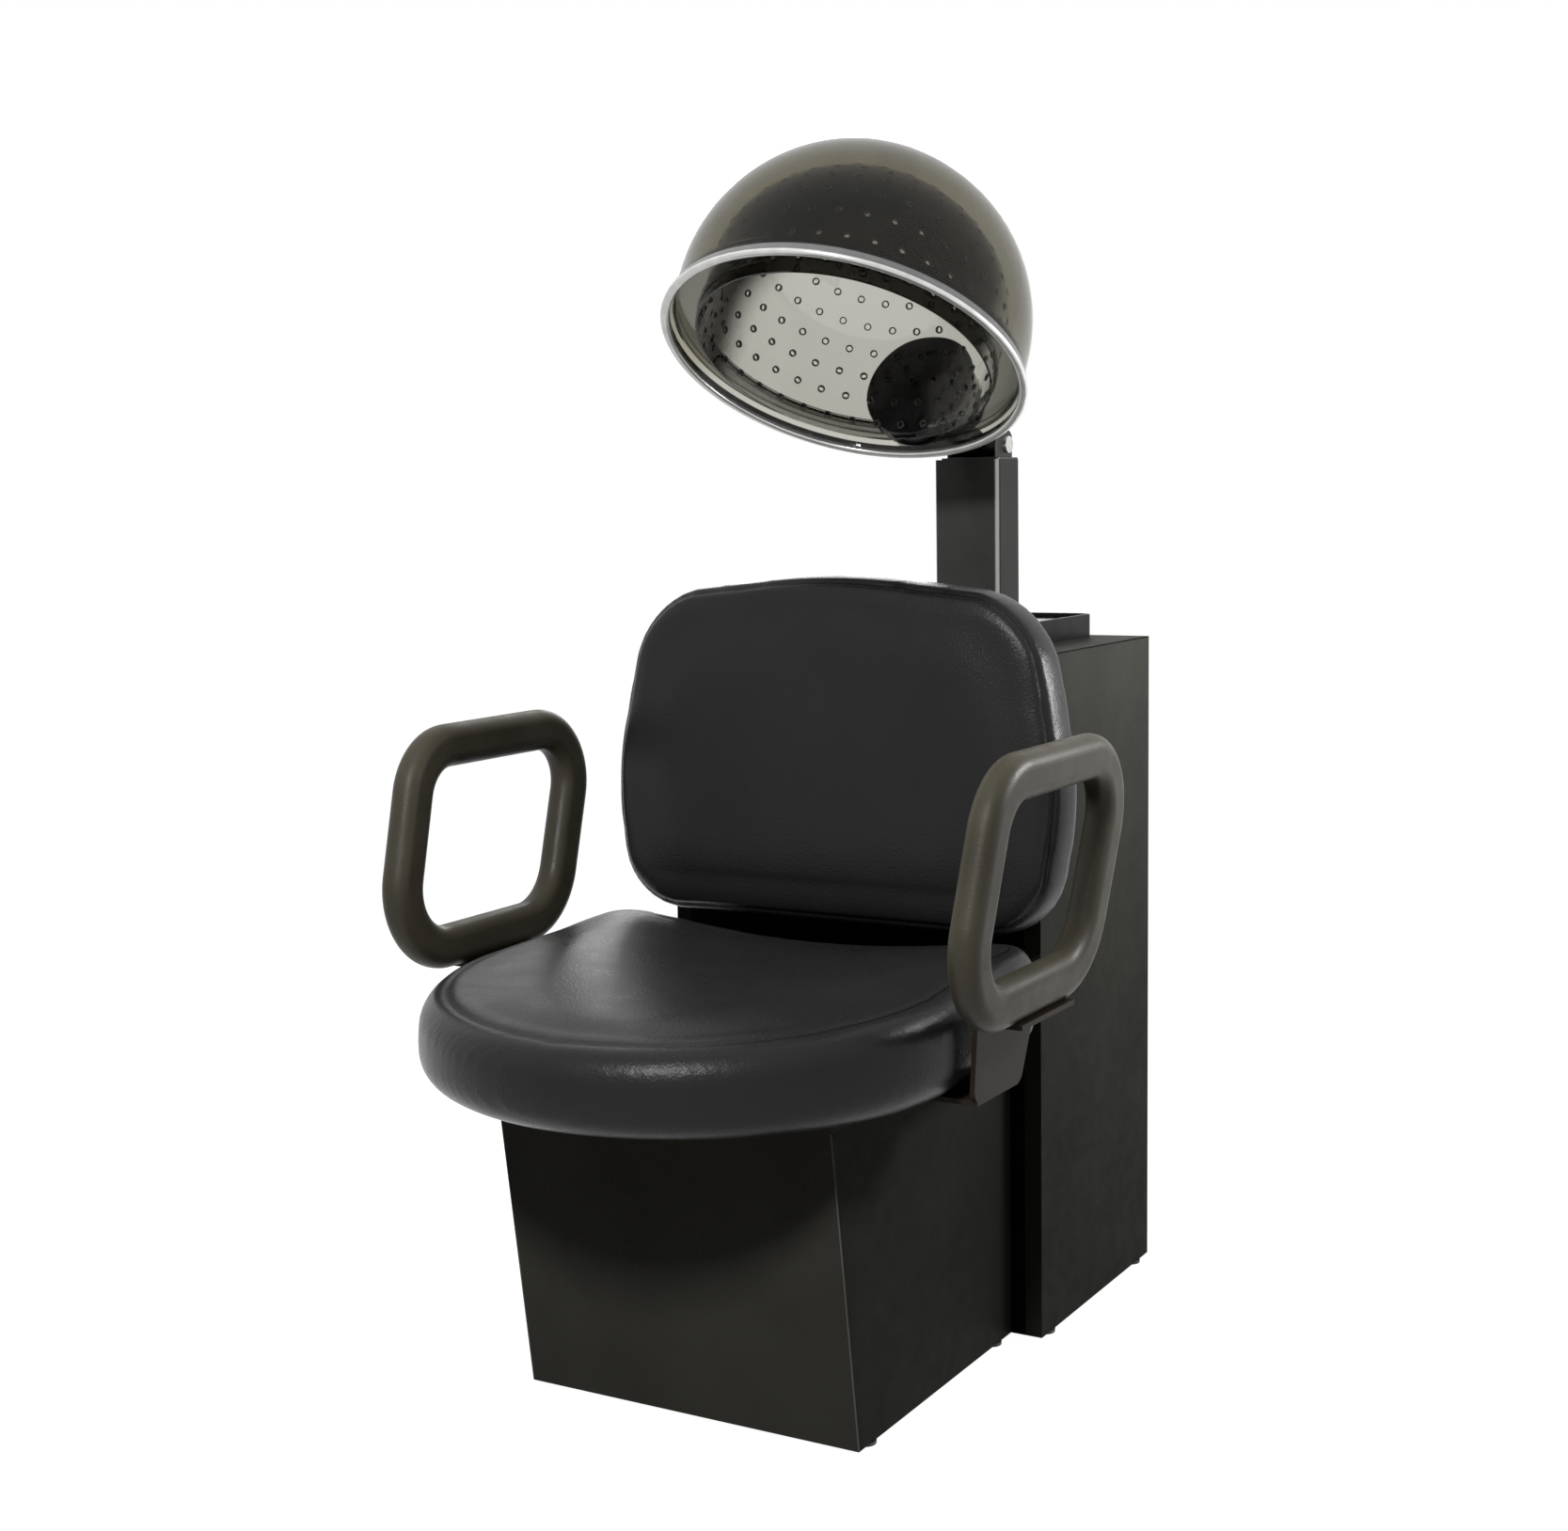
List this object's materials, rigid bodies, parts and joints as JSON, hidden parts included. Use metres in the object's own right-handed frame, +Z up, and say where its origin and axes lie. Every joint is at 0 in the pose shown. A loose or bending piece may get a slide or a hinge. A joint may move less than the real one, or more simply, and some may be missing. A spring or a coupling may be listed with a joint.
{
  "type": "salon dryer chair",
  "caption": "Salon dryer chair: upholstered seat and back with loop arms on laminated boxes, and a smoked hood dryer on a sliding post behind.",
  "frame": {"origin": "on the floor, midway across the chair and midway between the seat's nose and the lock knob behind", "axes": "+Z up, -Y the way the sitter faces, +X to the sitter's left"},
  "size_m": [0.6886, 0.98, 1.2775],
  "materials": {
    "black_laminate": "black laminate with a very fine even texture",
    "hardwood": "plain sawn hardwood",
    "plywood": "plain plywood",
    "vinyl_upholstery": "dark soft vinyl, sewn, over foam",
    "urethane_arm": "moulded soft urethane, satin",
    "painted_steel": "dark semi gloss powder coat",
    "zinc_steel": "zinc plated steel",
    "black_plastic": "black moulded plastic",
    "gloss_black": "glossy black moulded plastic",
    "smoked_dome": "clear smoked plastic, glossy",
    "smoked_bowl": "darker smoked plastic, glossy, pierced",
    "smoked_ring": "dark glossy plastic",
    "bright_trim": "grey glossy edging",
    "black_rubber": "black rubber",
    "heating_wire": "sheathed heating element",
    "ceramic": "glazed ceramic",
    "tray_liner": "pale grey plastic mat"
  },
  "bodies": {
    "chair": {"front_panel": "black_laminate", "front_box_left_side": "black_laminate", "front_box_right_side": "black_laminate", "seat_deck": "black_laminate", "corner_cleats": "hardwood", "rear_box_left_side": "black_laminate", "rear_box_right_side": "black_laminate", "rear_box_front_panel": "black_laminate", "rear_box_back_panel": "black_laminate", "rear_box_top": "black_laminate", "joining_bolts": "zinc_steel", "joining_blocks": "hardwood", "floor_glides": "black_plastic", "seat_board": "plywood", "seat_cushion": "vinyl_upholstery", "seat_bolts": "zinc_steel", "tee_nuts": "zinc_steel", "back_cushion": "vinyl_upholstery", "back_board": "plywood", "back_cleats": "hardwood", "back_bolts": "zinc_steel", "left_arm": "urethane_arm", "right_arm": "urethane_arm", "left_arm_bracket": "painted_steel", "right_arm_bracket": "painted_steel", "arm_bolts": "zinc_steel", "bracket_bolts": "zinc_steel", "post_channel": "painted_steel", "post_cover": "painted_steel", "post_bolts": "zinc_steel", "post_bush": "black_plastic", "lock_plate": "painted_steel", "tray": "gloss_black", "tray_liner": "tray_liner", "cord_gland": "black_plastic"},
    "sliding_tube": {"slide_tube": "painted_steel", "tube_bush": "black_plastic", "hinge_pin": "zinc_steel", "hinge_washers": "zinc_steel"},
    "hood": {"hood_arm": "painted_steel", "arm_screws": "zinc_steel", "outer_dome": "smoked_dome", "rim_trim": "bright_trim", "mouth_ring": "smoked_ring", "inner_bowl": "smoked_bowl", "bowl_top_spacer": "black_rubber", "blower_housing": "gloss_black", "rear_cover": "gloss_black", "housing_screws": "zinc_steel", "motor": "zinc_steel", "motor_bracket": "zinc_steel", "heater_ring": "heating_wire", "heater_posts": "ceramic", "timer_unit": "black_plastic", "heat_switch": "black_plastic"},
    "fan": {"fan_shaft": "zinc_steel", "fan_impeller": "black_plastic"},
    "timer_dial": {"timer_knob": "gloss_black"},
    "heat_dial": {"heat_knob": "gloss_black"},
    "height_lock": {"lock_knob": "black_plastic"}
  },
  "joints": [
    {"name": "hood_height", "type": "slide", "parent": "chair", "child": "sliding_tube", "axis": [0, 0, 1], "range_m": [0, 0.25]},
    {"name": "hood_tilt", "type": "hinge", "parent": "sliding_tube", "child": "hood", "pos_m": [0, 0.432, 0.958], "axis": [1, 0, 0], "range_deg": [-30, 18]},
    {"name": "fan_spin", "type": "hinge", "parent": "hood", "child": "fan", "pos_m": [0, 0.30282, 1.00789], "axis": [0, 0.8607, -0.509], "continuous": true},
    {"name": "timer_turn", "type": "hinge", "parent": "hood", "child": "timer_dial", "pos_m": [-0.034, 0.30282, 1.00789], "axis": [0, 0.8607, -0.509], "range_deg": [0, 300]},
    {"name": "heat_turn", "type": "hinge", "parent": "hood", "child": "heat_dial", "pos_m": [0.034, 0.30282, 1.00789], "axis": [0, 0.8607, -0.509], "range_deg": [0, 90]},
    {"name": "lock_turn", "type": "hinge", "parent": "chair", "child": "height_lock", "pos_m": [0, 0.472, 0.88], "axis": [0, 1, 0], "range_deg": [0, 360]}
  ]
}
